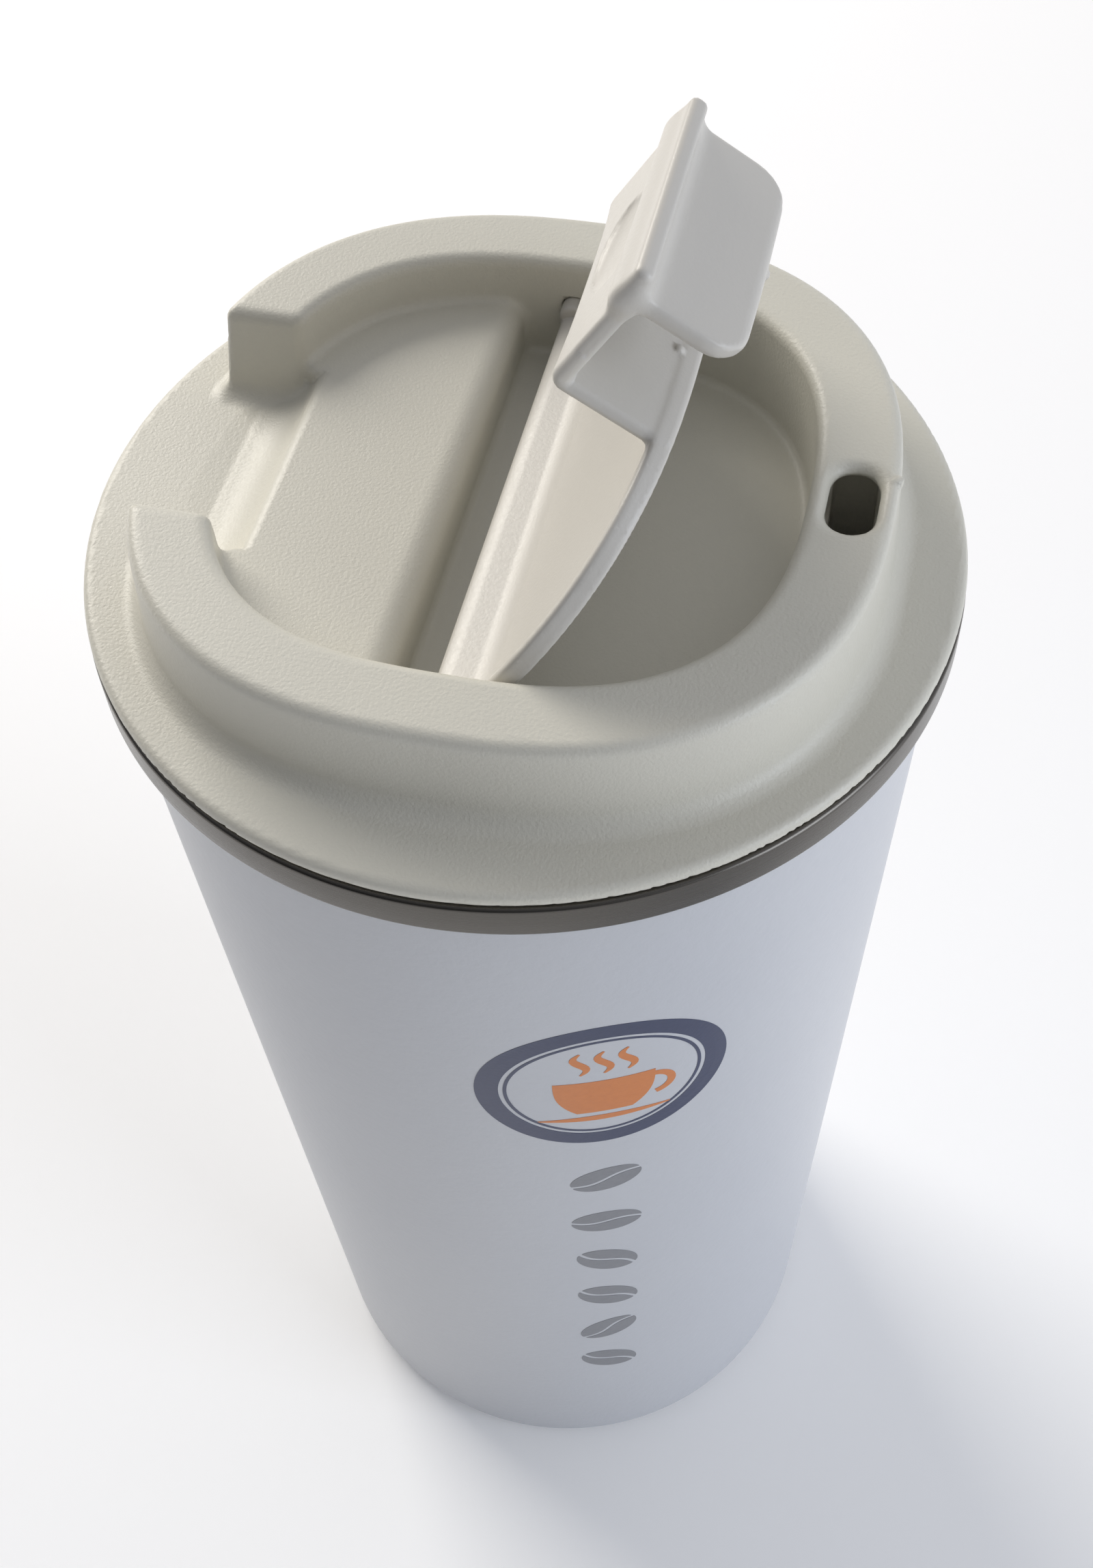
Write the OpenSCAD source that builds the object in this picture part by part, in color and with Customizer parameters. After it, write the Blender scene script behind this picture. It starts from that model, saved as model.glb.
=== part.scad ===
// Insulated travel mug: vacuum-walled steel cup with a screw-in flip lid.
// Origin at the centre of the foot, +Z up, +X towards the drinking hole. Millimetres.

/* [Mug] */
// Height of the rim that the lid sits on
rim_h = 168; // [140:0.5:200]
// Outer radius of the wall at the foot
foot_r = 37.8; // [35:0.1:39]
// Outer radius of the painted wall just under the mouth band
shoulder_r = 43.4; // [43:0.1:43.8]
// Radius of the rolled edge at the foot
foot_round = 3; // [2:0.1:4]
// Thickness of the steel sheet
steel_t = 0.8; // [0.6:0.05:0.9]
// Outer radius of the bare steel mouth band
band_r = 45.1; // [44.6:0.1:45.5]
// Height of the mouth band
band_h = 4.2; // [3.6:0.1:6]
// Inner radius of the neck, where the lid screws in
neck_r = 41; // [40.9:0.05:41.1]
// Height of the straight neck
neck_h = 22; // [21:0.5:24]
// Width of the vacuum space at the foot of the liner
vacuum_gap = 3.2; // [2.6:0.1:3.6]

/* [Lid] */
// Outer radius of the lid's flange
flange_r = 45; // [44.5:0.1:45.2]
// Gap between the rim and the flange
seat_gap = 0.3; // [0.2:0.05:0.4]
// Height of the flange's top face over the rim
flange_top = 2; // [1.8:0.1:2.4]
// Height of the raised ring over the rim
ring_top = 12.9; // [12.6:0.1:13.1]
// Half length of the raised ring, along X
ring_a = 37.1; // [36.9:0.1:37.2]
// Half width of the raised ring, along Y
ring_b = 36.2; // [36:0.1:36.5]
// Half length of the well inside the ring
well_a = 28.7; // [28.6:0.05:28.9]
// Half width of the well inside the ring
well_b = 28.2; // [28.1:0.05:28.4]
// Height of the well's floor over the rim
well_floor = 0.2; // [0:0.1:0.6]
// Height of the raised rest behind the hinge
rest_top = 7; // [6.6:0.1:7.2]
// Half width of the gap in the ring that takes the opened arm
gap_half = 14; // [13.6:0.1:15]
// Wall thickness of the lid's mouldings
lid_t = 2; // [1.8:0.1:2.2]

/* [Flap] */
// How far the flap stands open at rest, in degrees
open_angle = 57; // [40:1:70]
// Distance of the hinge pin behind the lid's axis
pin_x = -0.85; // [-1:0.05:-0.7]
// Height of the hinge pin over the rim
pin_z = 6.65; // [6.6:0.05:6.8]
// Radius of the hinge pin
pin_r = 1.5; // [1.2:0.1:1.6]
// Half width of the arm that reaches over the ring
arm_half = 12.2; // [11:0.1:12.6]
// Gap between the flap's leaf and the wall of the well
leaf_gap = 0.6; // [0.5:0.05:0.8]
// Height of the top of the arm over the rim, flap closed
arm_top = 15.3; // [15.2:0.1:15.6]

/* [Thread] */
// Rise of the thread in one turn
lead = 9; // [8.4:0.1:9.6]
// Number of thread starts
starts = 3; // [3:1:3]
// Length of each thread ramp, in degrees
ramp_angle = 60; // [30:5:64]

/* [Hidden] */
$fn = 128;

paint_white = [0.83, 0.84, 0.88];
bare_steel = [0.56, 0.54, 0.51];
lid_grey = [0.80, 0.79, 0.75];
flap_cream = [0.84, 0.82, 0.77];
silicone = [0.90, 0.90, 0.88];
foil_copper = [0.80, 0.52, 0.36];

// Foot, upwards from the table.
shell_z = 0.8;
cover_z = 1.4;
cover_t = 0.6;
cover_r = 32.6;
cover_rim_r = 31.5;
cover_rim_w = 2;
pad_r = 30.5;
pad_w = 7;
base_hole_r = 34;
base_r = 34.7;
base_lift = 1;
seal_hole_r = 1.2;
seal_head_r = 3.5;
getter_at = [16, 0];
getter_r = 5;
getter_h = 2.4;

// Shell and liner.
band_z = rim_h - band_h;
wall_slope = (shoulder_r - foot_r) / (band_z - shell_z - foot_round);
tuck_h = 2.6;
liner_floor = 10;
liner_foot_r = foot_r - steel_t - vacuum_gap - 0.8;
liner_round = 5;
neck_z = rim_h - neck_h;
flare_h = 8;
liner_top_r = neck_r - 2.2;
foil_t = 0.2;
foil_gap = 0.25;
foil_z = 22;

// Thread: the ramps of the neck point inwards and those of the plug outwards.
skirt_r = 39.2;
thread_gap = 0.4;
ramp_t = 1.2;
tilt = atan(lead / (2 * PI * neck_r));
neck_ramp_z = rim_h - 9.5;
plug_ramp_z = neck_ramp_z - lead / starts / 2;

// Plug and gasket.
skirt_low = -16;
skirt_t = 1.8;
disc_top = -2.3;
disc_t = 1.8;
groove_r = 38;
groove_low = -4.8;
groove_high = -1.7;
gasket_r = 40.75;
gasket_play = 0.05;

// Ring, drinking hole and channel.
ring_n = 2.45;
well_n = 2.7;
oval_points = 72;
hollow_top = ring_top - lid_t;
lid_low = well_floor - lid_t;
spigot_r = skirt_r - skirt_t - 0.1;
sip_x = 33;
sip_w = 5.2;
sip_l = 8.6;
sip_room = 7;
rest_x = -6.6;
rest_end = -25;
rest_slot = 12.8;
ear_back = -27.1;
dish_x = -31.5;
dish_r = 6.85;
pin_play = 0.05;
pin_reach = 29.9;

// Flap, drawn closed.
leaf_low = 2.7;
leaf_t = 1.2;
leaf_top = leaf_low + leaf_t;
rim_w = 1.3;
rim_rise = 0.9;
bar_left = -4;
bar_right = 1.6;
bar_top = 7.6;
bar_half = 27.6;
arm_t = 1.8;
wall_t = 1.4;
end_in = 37.6;
end_t = 1.8;
end_low = 3.3;
end_round = 4.2;
lip_out = 2.2;
lip_t = 1.8;
boss_x = sip_x;
dimple_r = 19;
dimple_depth = 0.6;

// A rounded square with half sides a and b; n sets how square it is.
function oval(a, b, n) = [
    for (i = [0 : oval_points - 1])
        let (c = cos(360 * i / oval_points), s = sin(360 * i / oval_points))
            [a * sign(c) * pow(abs(c), 2 / n), b * sign(s) * pow(abs(s), 2 / n)]
];

module oval_block(a, b, n, low, high) {
    translate([0, 0, low])
        linear_extrude(high - low)
            polygon(oval(a, b, n));
}

module ring_block(inset, low, high) {
    oval_block(ring_a - inset, ring_b - inset, ring_n, low, high);
}

module well_block(inset, low, high) {
    oval_block(well_a - inset, well_b - inset, well_n, low, high);
}

// A box from x0 to x1 and z0 to z1, reaching half either side of the XZ plane.
module slab(x0, x1, half, z0, z1) {
    translate([x0, -half, z0])
        cube([x1 - x0, 2 * half, z1 - z0]);
}

// A slot with round ends, w along X and l along Y.
module slot(w, l, low, high) {
    for (side = [-1, 1])
        translate([sip_x, side * (l - w) / 2, low])
            cylinder(d = w, h = high - low);
    translate([sip_x - w / 2, -(l - w) / 2, low])
        cube([w, l - w, high - low]);
}

// One thread ramp centred on +X, from r_in to r_out, leaning by the thread's tilt.
module ramp(r_in, r_out) {
    intersection() {
        rotate([tilt, 0, 0])
            rotate_extrude()
                translate([r_in, -ramp_t / 2])
                    square([r_out - r_in, ramp_t]);
        rotate([0, 0, -ramp_angle / 2])
            translate([0, 0, -lead / 2])
                rotate_extrude(angle = ramp_angle)
                    square([r_out + 1, lead]);
    }
}

module ramps(r_in, r_out, z) {
    for (k = [0 : starts - 1])
        translate([0, 0, z])
            rotate([0, 0, 60 + 360 * k / starts])
                ramp(r_in, r_out);
}

function wall_r(z) = foot_r + wall_slope * (z - shell_z - foot_round);

// The wall of the outer shell, thinned by inset from its outer face.
module shell_outline(inset) {
    centre = foot_r - foot_round;
    polygon(concat(
        [[0, shell_z + inset]],
        [for (a = [-90 : 7.5 : 0])
            [centre + (foot_round - inset) * cos(a),
             shell_z + foot_round + (foot_round - inset) * sin(a)]],
        [[wall_r(band_z) - inset, band_z],
         [wall_r(band_z) - inset, band_z + tuck_h],
         [0, band_z + tuck_h]]
    ));
}

// Drawn and powder-coated outer wall, rolled in at the foot.
module outer_shell() {
    color(paint_white)
        rotate_extrude()
            difference() {
                shell_outline(0);
                intersection() {
                    shell_outline(steel_t);
                    square([foot_r * 2, band_z]);
                }
                translate([0, band_z - 0.01])
                    square([wall_r(band_z) - steel_t, tuck_h + 1]);
                square([base_hole_r, shell_z + steel_t + 0.5]);
            }
}

// Bare steel band that joins the outer wall to the neck.
module mouth_band() {
    inside = wall_r(band_z);
    neck_out = neck_r + steel_t;
    color(bare_steel)
        rotate_extrude()
            polygon([
                [inside, band_z],
                [band_r - 0.2, band_z],
                [band_r, band_z + 0.2],
                [band_r, rim_h - 0.4],
                [band_r - 0.4, rim_h],
                [neck_out, rim_h],
                [neck_out, rim_h - steel_t],
                [band_r - steel_t, rim_h - steel_t],
                [band_r - steel_t, band_z + steel_t],
                [inside, band_z + steel_t]
            ]);
}

module liner_outline(inset) {
    centre = liner_foot_r - liner_round;
    r = liner_round - inset;
    polygon(concat(
        [[0, liner_floor - steel_t + inset]],
        [for (a = [-90 : 10 : 0])
            [centre + r * cos(a), liner_floor - steel_t + liner_round + r * sin(a)]],
        [[liner_top_r + steel_t - inset, neck_z - flare_h],
         [neck_r + steel_t - inset, neck_z],
         [neck_r + steel_t - inset, rim_h],
         [0, rim_h]]
    ));
}

// Bare steel liner with the thread ramps of the neck.
module inner_liner() {
    color(bare_steel) {
        rotate_extrude()
            difference() {
                liner_outline(0);
                liner_outline(steel_t);
                translate([0, rim_h - 0.01])
                    square([neck_r, 1]);
            }
        ramps(skirt_r + thread_gap, neck_r + steel_t / 2, neck_ramp_z);
    }
}

// Reflective foil round the liner, inside the vacuum.
module foil_wrap() {
    low_r = liner_foot_r + (liner_top_r + steel_t - liner_foot_r)
        * (foil_z - liner_floor - liner_round + steel_t)
        / (neck_z - flare_h - liner_floor - liner_round + steel_t);
    high_z = neck_z - flare_h - 2;
    high_r = liner_top_r + steel_t;
    color(foil_copper)
        rotate_extrude()
            polygon([
                [low_r + foil_gap, foil_z],
                [low_r + foil_gap + foil_t, foil_z],
                [high_r + foil_gap + foil_t, high_z],
                [high_r + foil_gap, high_z]
            ]);
}

// Pressed base plate, welded over the opening in the shell's foot.
module outer_base() {
    low = shell_z + steel_t;
    high = low + base_lift;
    color(bare_steel)
        rotate_extrude()
            polygon([
                [seal_hole_r, high],
                [base_hole_r - 1.6, high],
                [base_hole_r - 0.5, low],
                [base_r, low],
                [base_r, low + steel_t],
                [base_hole_r - 0.2, low + steel_t],
                [base_hole_r - 1.3, high + steel_t],
                [seal_hole_r, high + steel_t]
            ]);
}

// Getter that soaks up stray gas in the vacuum space.
module getter() {
    low = shell_z + 2 * steel_t + base_lift;
    color(bare_steel)
        translate([getter_at.x, getter_at.y, low]) {
            cylinder(r = getter_r, h = getter_h / 3);
            cylinder(r = getter_r * 0.7, h = getter_h);
        }
}

// Bead of solder that closes the evacuation hole.
module vacuum_seal() {
    low = shell_z + steel_t + base_lift;
    color([0.35, 0.36, 0.38]) {
        translate([0, 0, low - 0.5])
            cylinder(r = seal_head_r, h = 0.5);
        translate([0, 0, low - 0.01])
            cylinder(r = seal_hole_r, h = steel_t + 0.01);
    }
}

// Thin cover that hides the base plate, with a low rim that is glued to it.
module base_cover() {
    glued = shell_z + steel_t + base_lift;
    color(bare_steel)
        rotate_extrude()
            polygon([
                [0, cover_z],
                [cover_r, cover_z],
                [cover_r, cover_z + cover_t],
                [cover_rim_r, cover_z + cover_t],
                [cover_rim_r, glued],
                [cover_rim_r - cover_rim_w, glued],
                [cover_rim_r - cover_rim_w, cover_z + cover_t],
                [0, cover_z + cover_t]
            ]);
}

// Silicone ring that the mug stands on.
module foot_pad() {
    color([0.55, 0.56, 0.58])
        rotate_extrude()
            polygon([
                [pad_r - pad_w, 0],
                [pad_r - 0.4, 0],
                [pad_r, 0.4],
                [pad_r, cover_z],
                [pad_r - pad_w, cover_z]
            ]);
}

// Silicone gasket in the groove of the plug.
module lid_gasket() {
    low = rim_h + groove_low + gasket_play;
    high = rim_h + groove_high - gasket_play;
    middle = (low + high) / 2;
    inner = groove_r + gasket_play;
    color(silicone)
        rotate_extrude()
            polygon([
                [inner, low],
                [gasket_r - 0.8, low],
                [gasket_r - 0.5, middle - 0.9],
                [gasket_r, middle - 0.5],
                [gasket_r, middle + 0.5],
                [gasket_r - 0.5, middle + 0.9],
                [gasket_r - 0.8, high],
                [inner, high]
            ]);
}

// Flange with a rounded outer edge, cut open under the well and the ring.
module flange() {
    rotate_extrude()
        polygon([
            [0, seat_gap],
            [flange_r - 0.4, seat_gap],
            [flange_r, seat_gap + 0.4],
            [flange_r, flange_top - 0.9],
            [flange_r - 0.4, flange_top - 0.25],
            [flange_r - 1, flange_top],
            [ring_a - 2, flange_top + 0.3],
            [0, flange_top + 0.3]
        ]);
}

// The part of the ring that reaches down into the plug.
module spigot(inset, low, high) {
    intersection() {
        ring_block(inset, low, high);
        translate([0, 0, low])
            cylinder(r = spigot_r - inset, h = high - low);
    }
}

// The hollow under the ring, with ribs that wall off the drinking channel.
module ring_hollow() {
    difference() {
        union() {
            ring_block(lid_t, seat_gap, hollow_top);
            spigot(lid_t, lid_low - 1, seat_gap + 0.01);
        }
        well_block(-lid_t, lid_low - 2, ring_top);
        slab(-ring_a - 1, rest_end + 1, gap_half + lid_t, lid_low - 2, ring_top);
        for (side = [-1, 1])
            translate([well_a - 2, side * (sip_room + lid_t / 2) - lid_t / 2, lid_low - 2])
                cube([ring_a, lid_t, ring_top]);
    }
}

// A round channel along Y that dishes the floor of the gap and ends at the rest.
module dish(half) {
    translate([dish_x, 0, flange_top + 0.3 + dish_r])
        rotate([90, 0, 0])
            cylinder(r = dish_r, h = 2 * half, center = true);
}

// The space over the rest, the well and the dished floor of the gap.
module rest_cut() {
    well_block(0, rest_top, ring_top + 1);
    intersection() {
        well_block(0, well_floor, ring_top + 1);
        slab(rest_x, well_a + 1, well_b + 1, well_floor, ring_top + 1);
    }
    slab(-flange_r, rest_end, rest_slot, rest_top - 0.1, ring_top + 1);
    dish(rest_slot);
    intersection() {
        dish(gap_half);
        slab(-flange_r, ear_back, gap_half, well_floor, ring_top);
    }
    slab(-flange_r, dish_x, gap_half, flange_top + 0.3, ring_top + 1);
}

// Upper moulding of the lid: flange, open ring, well and rest.
module lid_top() {
    color(lid_grey)
        translate([0, 0, rim_h])
            difference() {
                union() {
                    flange();
                    spigot(0, lid_low, seat_gap + 0.01);
                    ring_block(0, seat_gap, 11.7);
                    ring_block(0.3, 11.6, 12.4);
                    ring_block(0.9, 12.3, ring_top);
                }
                rest_cut();
                ring_hollow();
                intersection() {
                    well_block(lid_t, lid_low - 1, rest_top - lid_t);
                    slab(rest_end + lid_t, rest_x - lid_t, well_b, lid_low - 1, rest_top - lid_t);
                }
                slot(sip_w, sip_l, hollow_top - 1, ring_top + 1);
                translate([pin_x, 0, pin_z])
                    rotate([90, 0, 0])
                        cylinder(r = pin_r + pin_play, h = 2 * (pin_reach + 0.6), center = true);
            }
}

// Threaded lower moulding of the lid.
module lid_plug() {
    color(lid_grey) {
        translate([0, 0, rim_h])
            difference() {
                translate([0, 0, skirt_low])
                    cylinder(r = skirt_r, h = seat_gap - skirt_low);
                translate([0, 0, skirt_low - 1])
                    cylinder(r = skirt_r - skirt_t, h = disc_top - disc_t - skirt_low + 1);
                translate([0, 0, disc_top])
                    cylinder(r = skirt_r - skirt_t, h = 5);
                translate([0, 0, groove_low])
                    difference() {
                        cylinder(r = skirt_r + 1, h = groove_high - groove_low);
                        translate([0, 0, -1])
                            cylinder(r = groove_r, h = groove_high - groove_low + 2);
                    }
                slot(sip_w, 2 * sip_room - 1, disc_top - disc_t - 1, disc_top + 1);
            }
        ramps(skirt_r - skirt_t / 2, neck_r - thread_gap, plug_ramp_z);
    }
}

// Silicone ring that seals the drinking channel between the two mouldings.
module sip_seal() {
    color(silicone)
        translate([0, 0, rim_h])
            difference() {
                slot(sip_w + 2.4, 2 * sip_room + 1.4, disc_top, lid_low);
                slot(sip_w, 2 * sip_room - 1, disc_top - 1, lid_low + 1);
            }
}

// Places a shape drawn for the closed flap at its rest angle.
module opened() {
    translate([pin_x, 0, rim_h + pin_z])
        rotate([0, -open_angle, 0])
            translate([-pin_x, 0, -pin_z])
                children();
}

module leaf() {
    intersection() {
        well_block(leaf_gap, leaf_low, leaf_top);
        slab(0, well_a, well_b, leaf_low - 1, ring_top);
    }
    difference() {
        intersection() {
            well_block(leaf_gap, leaf_top - 0.1, leaf_top + rim_rise);
            slab(0, well_a, well_b, leaf_low, ring_top);
        }
        well_block(leaf_gap + rim_w, leaf_low, ring_top);
    }
}

module hinge_bar() {
    translate([0, bar_half, 0])
        rotate([90, 0, 0])
            linear_extrude(2 * bar_half)
                translate([bar_left + 1.2, leaf_low + 1.2])
                    offset(r = 1.2, $fn = 24)
                        square([bar_right - bar_left - 2.4, bar_top - leaf_low - 2.4]);
    for (side = [-1, 1])
        translate([pin_x, side * (bar_half + pin_reach - 1) / 2, pin_z])
            rotate([90, 0, 0])
                cylinder(r = pin_r, h = pin_reach - bar_half + 1, center = true);
}

// The arm: up the wall of the well, over the ring and down outside it.
module arm() {
    intersection() {
        difference() {
            well_block(leaf_gap, leaf_top - 0.1, arm_top);
            well_block(leaf_gap + wall_t, leaf_low, arm_top + 1);
        }
        slab(sip_x - 16, well_a, arm_half, leaf_low, arm_top + 1);
    }
    slab(well_a - 3.4, end_in + end_t, arm_half, arm_top - arm_t, arm_top);
    translate([end_in, 0, 0])
        rotate([90, 0, 90])
            linear_extrude(end_t) {
                translate([-arm_half + end_round, end_low + end_round])
                    offset(r = end_round, $fn = 48)
                        square([2 * (arm_half - end_round), arm_top - end_low - 2 * end_round]);
                translate([-arm_half, arm_top - end_round])
                    square([2 * arm_half, end_round]);
            }
    slab(end_in, end_in + end_t + lip_out, arm_half, arm_top + 0.5 - lip_t, arm_top + 0.5);
    translate([boss_x, 0, arm_top - arm_t - 1])
        cylinder(r = 1.2, h = 1.1);
}

// Hinged flap: leaf, hinge bar with its pins, arm and thumb lip.
module flap() {
    color(flap_cream)
        opened()
            difference() {
                union() {
                    leaf();
                    hinge_bar();
                    arm();
                }
                translate([sip_x - 0.6, 0, arm_top + dimple_r - dimple_depth])
                    sphere(r = dimple_r);
            }
}

// Silicone stopper under the arm, pushed over a small boss.
module flap_stopper() {
    top = arm_top - arm_t;
    color(silicone)
        opened()
            difference() {
                union() {
                    slot(sip_w - 1.4, sip_l - 1.4, top - 2, top);
                    slot(sip_w - 2, sip_l - 2, top - 2.9, top - 1.9);
                }
                translate([boss_x, 0, top - 1])
                    cylinder(r = 1.2, h = 2);
            }
}

outer_shell();
mouth_band();
inner_liner();
foil_wrap();
outer_base();
getter();
vacuum_seal();
base_cover();
foot_pad();
lid_gasket();
lid_top();
lid_plug();
sip_seal();
flap();
flap_stopper();
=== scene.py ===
import math

import bpy
import numpy as np
from mathutils import Matrix, Vector


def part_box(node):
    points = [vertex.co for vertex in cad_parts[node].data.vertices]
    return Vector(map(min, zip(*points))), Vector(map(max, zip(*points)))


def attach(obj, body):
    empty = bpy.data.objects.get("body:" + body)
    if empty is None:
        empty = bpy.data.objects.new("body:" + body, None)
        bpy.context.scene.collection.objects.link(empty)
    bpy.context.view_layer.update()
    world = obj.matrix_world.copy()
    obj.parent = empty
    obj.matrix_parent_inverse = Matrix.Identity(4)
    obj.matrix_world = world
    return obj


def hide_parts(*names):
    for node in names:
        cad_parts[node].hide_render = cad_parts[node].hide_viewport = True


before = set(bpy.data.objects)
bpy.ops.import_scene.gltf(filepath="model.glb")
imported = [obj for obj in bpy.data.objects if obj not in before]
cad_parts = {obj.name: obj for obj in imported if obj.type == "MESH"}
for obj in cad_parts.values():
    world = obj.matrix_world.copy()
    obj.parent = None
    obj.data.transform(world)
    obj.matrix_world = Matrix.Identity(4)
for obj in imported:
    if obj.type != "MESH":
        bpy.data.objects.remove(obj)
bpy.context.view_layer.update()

# ---------------------------------------------------------------------------------------------
# Studio: a white floor, two large soft boxes and a pale room that is dimmer in front. The camera
# looks down on the lid from in front and a little to the right.
# ---------------------------------------------------------------------------------------------
MM = 0.001
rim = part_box("mouth_band")[1].z
look_azimuth, look_elevation, look_roll = map(math.radians, (16.7, 51.84, -3.77))
look_at = Vector((0.0065, -0.0202, rim))
look_distance = 0.189
across = Vector((math.cos(look_azimuth), math.sin(look_azimuth), 0))
level = Vector((-math.sin(look_azimuth), math.cos(look_azimuth), 0))
forward = level * math.cos(look_elevation) - Vector((0, 0, math.sin(look_elevation)))
upward = across.cross(forward)
roll_cos, roll_sin = math.cos(look_roll), math.sin(look_roll)
camera_x = across * roll_cos + upward * roll_sin
camera_y = upward * roll_cos - across * roll_sin
camera = bpy.data.objects.new("camera", bpy.data.cameras.new("camera"))
camera.matrix_world = Matrix.Translation(look_at - forward * look_distance) @ Matrix(
    (camera_x, camera_y, -forward)).transposed().to_4x4()
camera.data.sensor_width = 36
camera.data.lens = 44.98
camera.data.shift_x = 0.0053
camera.data.shift_y = -0.0538
camera.data.clip_start = 0.01
bpy.context.scene.collection.objects.link(camera)
bpy.context.scene.camera = camera


class Wire:
    """A socket in a node tree, so that a finish or a rule of a shape reads as arithmetic."""

    def __init__(self, tree, socket=None):
        self.tree, self.socket = tree, socket

    def node(self, kind, settings=None, inputs=None, output=0):
        """Adds a node: its settings first, then the values or wires of its sockets."""
        made = self.tree.nodes.new(kind)
        for name, value in (settings or {}).items():
            setattr(made, name, value)
        for name, value in (inputs or {}).items():
            if isinstance(value, Wire):
                self.tree.links.new(value.socket, made.inputs[name])
            else:
                made.inputs[name].default_value = value
        return Wire(self.tree, made.outputs[output])

    def maths(self, operation, *values):
        return self.node("ShaderNodeMath", {"operation": operation}, dict(enumerate(values)))

    def __add__(self, other):
        return self.maths("ADD", self, other)

    def __sub__(self, other):
        return self.maths("SUBTRACT", self, other)

    def __rsub__(self, other):
        return self.maths("SUBTRACT", other, self)

    def __mul__(self, other):
        return self.maths("MULTIPLY", self, other)

    def __truediv__(self, other):
        return self.maths("DIVIDE", self, other)

    def feed(self, node, name):
        self.tree.links.new(self.socket, node.inputs[name])


def start_finish(name, roughness, **fixed):
    """A new material: returns it, its shader node, and a wire of the piece's own coordinates."""
    material = bpy.data.materials.new(name)
    material.use_nodes = True
    shader = material.node_tree.nodes["Principled BSDF"]
    shader.inputs["Roughness"].default_value = roughness
    for socket, value in fixed.items():
        shader.inputs[socket.replace("_", " ")].default_value = value
    place = Wire(material.node_tree).node("ShaderNodeTexCoord", output="Object")
    return material, shader, place


def noise(place, size, detail=2.0, stretch=(1, 1, 1)):
    """Noise from 0 to 1 whose blobs are about size across, in metres."""
    scaled = place.node("ShaderNodeMapping", None,
                        {"Vector": place, "Scale": [s / size for s in stretch]})
    return place.node("ShaderNodeTexNoise", None,
                      {"Vector": scaled, "Scale": 1.0, "Detail": detail, "Roughness": 0.55})


def mixed(factor, first, second):
    """A colour between two colours."""
    return factor.node("ShaderNodeMix", {"data_type": "RGBA"},
                       {0: factor, 6: first, 7: second}, output=2)


def relief(height, depth, shader):
    """Feeds a height, times depth in metres, to the shader as a bump."""
    bump = height.node("ShaderNodeBump", None,
                       {"Height": height, "Distance": depth, "Strength": 1.0})
    bump.feed(shader, "Normal")


floor_half = 3.0
floor_mesh = bpy.data.meshes.new("floor")
floor_mesh.from_pydata([(x * floor_half, y * floor_half, 0)
                        for x, y in ((-1, -1), (1, -1), (1, 1), (-1, 1))], [], [(0, 1, 2, 3)])
floor = bpy.data.objects.new("floor", floor_mesh)
bpy.context.scene.collection.objects.link(floor)
floor_paint, shader, place = start_finish("floor_white", 0.85, Emission_Strength=0.08)
shader.inputs["Emission Color"].default_value = (0.96, 0.97, 1.0, 1)
mixed(noise(place, 0.4), (0.93, 0.93, 0.93, 1), (0.95, 0.95, 0.95, 1)).feed(shader, "Base Color")
floor_mesh.materials.append(floor_paint)


def softbox(name, place, size, power, colour):
    """A square soft light that faces the lid."""
    light = bpy.data.lights.new(name, "AREA")
    light.size = size
    light.energy = power
    light.color = colour
    lamp = bpy.data.objects.new(name, light)
    lamp.location = place
    aim = Vector((0, 0, rim * 0.8)) - Vector(place)
    lamp.rotation_euler = aim.to_track_quat("-Z", "Y").to_euler()
    bpy.context.scene.collection.objects.link(lamp)


softbox("warm_window", (-0.92, 0.72, 0.80), 0.75, 15, (1.0, 0.955, 0.88))
softbox("cool_window", (1.15, -0.30, 0.45), 0.7, 6.5, (0.84, 0.90, 1.0))
room = bpy.data.worlds.new("room")
room.use_nodes = True
room_light = room.node_tree.nodes["Background"]
room_light.inputs["Color"].default_value = (0.92, 0.935, 1.0, 1)
room_strength = 0.46
dim_share = 0.42
lift_share = -0.2
direction = Wire(room.node_tree).node("ShaderNodeTexCoord", output="Generated")
dim_side = direction.node("ShaderNodeVectorMath", {"operation": "DOT_PRODUCT"},
                          {0: direction, 1: (-0.42, -0.90, -0.1)}, output="Value")
dimmed = dim_side.maths("MAXIMUM", dim_side, lift_share) * dim_share
(room_strength - dimmed).feed(room_light, "Strength")
bpy.context.scene.world = room
bpy.context.scene.view_settings.view_transform = "Standard"

# ---------------------------------------------------------------------------------------------
# Outer wall: drawn steel, slightly tapered and rolled in at the foot, with a white powder coat
# that has a faint orange peel.
# ---------------------------------------------------------------------------------------------
sheet_t = 0.8
foot_r = 37.8
foot_roll = 3.0
foot_hole_r = 34.0
shell_low, shell_high = (corner.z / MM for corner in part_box("outer_shell"))
shoulder_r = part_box("outer_shell")[1].x / MM
band_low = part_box("mouth_band")[0].z / MM
turn_steps = 288


def outline(corners, steps=8):
    """A closed outline of (radius, height, fillet) corners, each fillet drawn as an arc."""
    points = []
    for i, (r, z, fillet) in enumerate(corners):
        here = np.array((r, z), float)
        before = np.array(corners[i - 1][:2], float) - here
        after = np.array(corners[(i + 1) % len(corners)][:2], float) - here
        if not fillet:
            points.append(here)
            continue
        before /= np.hypot(*before)
        after /= np.hypot(*after)
        half = math.acos(max(-1.0, min(1.0, float(before @ after)))) / 2
        middle = before + after
        centre = here + middle / np.hypot(*middle) * fillet / math.sin(half)
        start = here + before * fillet / math.tan(half) - centre
        end = here + after * fillet / math.tan(half) - centre
        sweep = math.atan2(start[0] * end[1] - start[1] * end[0], float(start @ end))
        for k in range(steps + 1):
            c, s = math.cos(sweep * k / steps), math.sin(sweep * k / steps)
            points.append(centre + np.array((c * start[0] - s * start[1],
                                             s * start[0] + c * start[1])))
    return np.array(points)


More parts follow.
